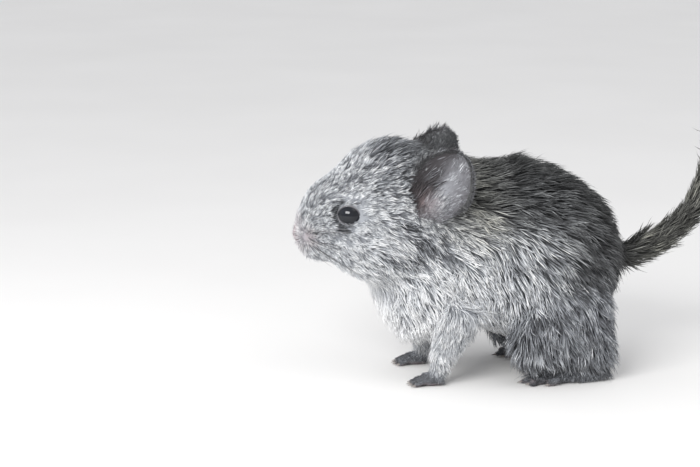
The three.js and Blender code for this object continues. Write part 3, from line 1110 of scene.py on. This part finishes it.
def tuft_arrays(path, width, normals, values, spots):
    """Closed three-sided tufts along centre lines: corners, triangles, map places and numbers."""
    count, rings = path.shape[0], path.shape[1] - 1
    size = rings * 3 + 1
    axis = unit(path[:, -1] - path[:, 0])
    side = unit(np.cross(axis, normals))
    out = np.cross(side, axis)
    offset = RING[:, 0, None] * side[:, None, :] + RING[:, 1, None] * out[:, None, :]
    body = path[:, :rings, None] + (offset[:, None] * (width[:, None] * SWELL[rings])[:, :, None, None])
    points = np.concatenate([body.reshape(count, -1, 3), path[:, -1:]], axis=1)
    faces, maps = tuft_faces(rings)
    triangles = (faces[None] + (np.arange(count) * size)[:, None, None]).reshape(-1, 3)
    places = spots[:, None, None, :] + (maps[None] - (0, 0.5)) * UV_PATCH
    numbers = {key: np.repeat(value, size) for key, value in values.items()}
    numbers["along"] = np.tile(np.append(np.repeat(np.arange(rings) / rings, 3), 1.0), count)
    return points.reshape(-1, 3), triangles, places.reshape(-1, 2), numbers


def add_coat(name, parts, material):
    """One piece from several sets of tufts, darker at the roots (the underfur's own colour and painted shade
    in the gaps between locks) and at some of the tips.
    """
    mesh = mesh_from(name, *merge([part[:2] for part in parts]))
    layer = mesh.uv_layers.new(name="OFBake")
    layer.uv.foreach_set("vector", np.concatenate([part[2] for part in parts]).ravel().astype(np.float32))
    numbers = {key: np.concatenate([part[3][key] for part in parts]) for key in parts[0][3]}
    along = numbers["along"]
    # darker towards the root: partly the underfur's own slate colour, partly painted shade in the gaps
    # between the locks
    shaded = numbers["light"] * (1 - numbers["root"] * (1 - smoothstep(0.0, 0.6, along)))
    shaded *= 1 - numbers["tip"] * smoothstep(0.6, 1.0, along)
    numbers = {"light": np.clip(shaded, 0, 1), "warm": numbers["warm"], "pink": numbers["pink"]}
    add_piece(name, mesh, material, numbers=numbers)


BODY_MIDDLE = 36  # height of the line that the unwrap turns round


def spots_on_map(roots):
    """A place of its own for each root on an even unwrap: round the body across, along the body up."""
    turn = np.arctan2(roots[:, 0], roots[:, 2] - BODY_MIDDLE)
    count = len(roots)
    columns = math.ceil(math.sqrt(count))
    column = np.empty(count, int)
    column[np.argsort(turn, kind="stable")] = np.arange(count) * columns // count
    order = np.lexsort((roots[:, 1], column))
    first = np.searchsorted(column[order], np.arange(columns))
    row = np.empty(count, int)
    row[order] = np.arange(count) - first[column[order]]
    return np.stack([(column + 0.5) / columns, (row + 0.5) / (row.max() + 1)], axis=1)


def coat_groups(kinds, roots):
    """The name of the coat piece that each root belongs to."""
    parts = np.array([COAT_OF.get(kind, kind) for kind in kinds])
    return np.char.add(parts, np.where(roots[:, 0] >= 0, "_left", "_right"))


def build_coat(net, lay, material):
    rng = np.random.default_rng(SEED + 1)
    chosen, share, tall = scatter(net, lay, rng)
    blend = blending_at(net.triangles[chosen], share)
    roots = blend(net.points)
    normals, path, width, leader = grow_tufts(roots, lay, blend, rng)
    count = len(roots)
    streaks = blend(lay.streaks)
    differs = rng.normal(0, SHADE_OWN, count) + rng.normal(0, SHADE_LOCK, count)[leader]
    light = blend(lay.light) + 0.15 * blend(lay.inner_ear)
    values = {
        "light": np.clip(light + streaks * differs, 0.02, 1),
        "warm": blend(lay.warm),
        "pink": blend(lay.pink),
        "tip": 0.6 * streaks * (rng.random(count) < DARK_TIPS),
        # how much darker each tuft is at its root: partly the underfur's own colour, partly painted shade in
        # the gaps between locks
        "root": np.clip(0.25 + 0.5 * streaks, 0, 0.8),
    }

    def grown(some, spots):
        """Short tufts, which leave out the first bend, and long ones."""
        parts = []
        for long, bends in ((True, [0, 1, 2, 3]), (False, [0, 2, 3])):
            pick = np.nonzero(tall[some] == long)[0]
            if len(pick):
                mine = some[pick]
                numbers = {key: value[mine] for key, value in values.items()}
                parts.append(
                    tuft_arrays(path[mine][:, bends], width[mine], normals[mine], numbers, spots[pick])
                )
        return parts

    group = coat_groups(lay.kinds[net.triangles[chosen, 0]], roots)
    for name in sorted(set(group)):
        members = np.nonzero(group == name)[0]
        pieces = math.ceil(tuft_triangles(tall[members]).sum() / PIECE_TRIANGLES)
        order = members[np.argsort(roots[members, 1], kind="stable")]
        for number, some in enumerate(np.array_split(order, pieces)):
            label = f"coat_{name}" + (f"_{number + 1}" if pieces > 1 else "")
            add_coat(label, grown(some, spots_on_map(roots[some])), material)


# Claws
CLAW_HEIGHT = 0.75
FOREFOOT_X = 12
FINGERS = (-1.5, -0.5, 0.5, 1.5)
FINGER_GAP = 1.75
FINGER_TIP = 32.2  # y of the tips of the middle fingers
HINDFOOT_X = 15.8
TOE_ROOT = 75
TOES = ((-2.2, 8.2), (0, 9.4), (2.2, 8.4), (3.9, 3.6))  # place across the foot, and length


def claw(tip, out):
    """A small hooked claw that starts inside the toe."""
    tip, out = np.array(tip, float), unit(np.array(out, float))
    down = np.array([0, 0, -1.0])
    share = np.linspace(0, 1, 6)[:, None]
    line = tip - out * 0.5 + out * 2.1 * share + down * 0.35 * share**2
    line[:, 2] = np.maximum(line[:, 2], 0.3)
    return tube(line, [0.33, 0.32, 0.29, 0.22, 0.12], 8)


def build_claws(material):
    for name, side in SIDES.items():
        parts = []
        for spread in FINGERS:
            tip = ((FOREFOOT_X + spread * FINGER_GAP) * side, FINGER_TIP + 0.6 * abs(spread), CLAW_HEIGHT)
            parts.append(claw(tip, (spread * 0.15 * side, -1, 0)))
        for across, length in TOES:
            reach = TOE_ROOT + abs(across) * 0.4 - length
            tip = ((HINDFOOT_X + across * 1.15) * side, reach, CLAW_HEIGHT)
            parts.append(claw(tip, (across * 0.05 * side, -1, 0)))
        add_piece("claws_" + name, mesh_from("claws_" + name, *merge(parts)), material)


# Whiskers
WHISKERS = 15
WHISKERS_IN_ROW = 5
BROW_WHISKERS = 2
WHISKER_STEPS = 9
WHISKER_SIDES = 4


def whisker(root, way, length, sweep, bend, radii):
    """A fine hair that starts inside the skin and bends more towards its tip."""
    share = np.linspace(0, 1, WHISKER_STEPS + 1)[:, None]
    line = np.array(root) - way * 0.4 + length * (way * share + bend * (np.array(sweep) * share**2) * share)
    return tube(line, np.linspace(*radii, WHISKER_STEPS), WHISKER_SIDES)


def build_whiskers(net, material):
    """Fine whiskers from the pad beside the nose, swept back, and two above each eye."""
    rng = np.random.default_rng(SEED + 2)
    tree = tree_of(net.points)
    for name, side in SIDES.items():
        parts = []
        for number in range(WHISKERS):
            row, place = divmod(number, WHISKERS_IN_ROW)
            root = tree.find((5.2 * side, 2.4 + 1.1 * place, 47.2 - 1.9 * row - 0.25 * place))[0]
            length = 11 + 2.0 * place + rng.uniform(-1.5, 2.5)
            way = unit(np.array([side * (0.95 - 0.1 * place), 0.15 + 0.16 * place, 0.26 - 0.3 * row]))
            way = unit(way + rng.normal(0, 0.06, 3))
            parts.append(whisker(root, way, length, (-0.25 * side, 0.75, -0.35), 0.55, (0.14, 0.04)))
        for number in range(BROW_WHISKERS):
            root = tree.find((9.6 * side, 11 + 2.2 * number, 59.5))[0]
            way = unit(np.array([0.7 * side, 0.25 + 0.2 * number, 0.8]))
            parts.append(whisker(root, way, 8, (0, 0.6, -0.3), 0.5, (0.11, 0.035)))
        mesh = mesh_from("whiskers_" + name, *merge(parts))
        rank = np.append(np.repeat(np.arange(WHISKER_STEPS) / WHISKER_STEPS, WHISKER_SIDES), [0, 1])
        add_piece("whiskers_" + name, mesh, material, numbers={"along": np.tile(rank, len(parts))})


# Floor, light and camera
PHOTO_SIZE = (700, 467)
NOSE_PIXEL = (291, 234)  # where the nose shows in the photo
NOSE_FRONT = (0, -2.2, 45.5)
CAMERA_TURN = 80  # degrees round from straight ahead, towards the animal's left
CAMERA_RISE = 12
CAMERA_DISTANCE = 600
CAMERA_NEAR = 0.01  # metres
LENS = 103
SENSOR = 36
LIGHT_TARGET = (0, 40, 40)
LIGHTS = {  # turn and rise in degrees, distance, size and power
    "key": (51, 30, 520, (330, 165), 2.3),
    "fill": (140, 55, 900, (600, 500), 0.9),
}
SKY = (0.965, 0.975, 1.0, 1)
SKY_STRENGTH = 0.78
FLOOR_HALF = 3.0  # metres


def turned(turn, rise):
    """The direction from the animal towards a place round it, in degrees."""
    turn, rise = math.radians(turn), math.radians(rise)
    return np.array([math.sin(turn) * math.cos(rise), -math.cos(turn) * math.cos(rise), math.sin(rise)])


def aim(thing, place, target):
    thing.location = Vector(to_frame(place))
    thing.rotation_euler = (Vector(target) - Vector(place)).to_track_quat("-Z", "Y").to_euler()


def build_camera():
    back = turned(CAMERA_TURN, CAMERA_RISE)
    right = unit(np.cross(-back, (0, 0, 1)))
    up = np.cross(right, -back)
    per_pixel = CAMERA_DISTANCE * SENSOR / (LENS * PHOTO_SIZE[0])
    across = (NOSE_PIXEL[0] - PHOTO_SIZE[0] / 2) * per_pixel
    above = (PHOTO_SIZE[1] / 2 - NOSE_PIXEL[1]) * per_pixel
    place = np.array(NOSE_FRONT) + back * CAMERA_DISTANCE - right * across - up * above
    camera = add_object("camera", bpy.data.cameras.new("camera"))
    camera.data.lens = LENS
    camera.data.sensor_width = SENSOR
    camera.data.clip_start = CAMERA_NEAR
    aim(camera, place, place - back)
    bpy.context.scene.camera = camera
    bpy.context.scene.view_settings.view_transform = "Standard"


def build_light(name, turn, rise, distance, size, power):
    """A soft rectangular light that faces the animal."""
    lamp = bpy.data.lights.new(name, "AREA")
    lamp.shape = "RECTANGLE"
    lamp.size, lamp.size_y = (side * MM for side in size)
    lamp.energy = power
    target = np.array(LIGHT_TARGET)
    aim(add_object(name, lamp), target + turned(turn, rise) * distance, target)


def build_sky():
    world = bpy.data.worlds.new("studio")
    world.use_nodes = True
    sky = world.node_tree.nodes["Background"]
    sky.inputs["Color"].default_value = SKY
    sky.inputs["Strength"].default_value = SKY_STRENGTH
    bpy.context.scene.world = world


def build_floor():
    mesh = bpy.data.meshes.new("floor")
    corners = [(x * FLOOR_HALF, y * FLOOR_HALF, 0) for x, y in ((-1, -1), (1, -1), (1, 1), (-1, 1))]
    mesh.from_pydata(corners, [], [(0, 1, 2, 3)])
    mesh.materials.append(floor_material())
    floor = add_object("floor", mesh)


build_camera()
build_floor()
build_sky()
for light_name, light_settings in LIGHTS.items():
    build_light(light_name, *light_settings)

node_names = list(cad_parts)
flesh_nodes = [name for name in node_names if not name.startswith("eye")]
skin_net, coat_lay = build_skin(node_names)
skin_mesh = mesh_from("skin", skin_net.points, skin_net.triangles)
shades = {"light": coat_lay.light * coat_lay.underfur(), "warm": coat_lay.warm, "pink": coat_lay.pink}
add_piece("skin", skin_mesh, skin_material(), flesh_nodes, shades)
build_coat(skin_net, coat_lay, fur_material())
eye = eye_material()
lid = lid_material()
for eye_side in SIDES:
    build_eye(eye_side, eye)
    build_lids(eye_side, lid)
build_claws(claw_material())
build_whiskers(skin_net, whisker_material())
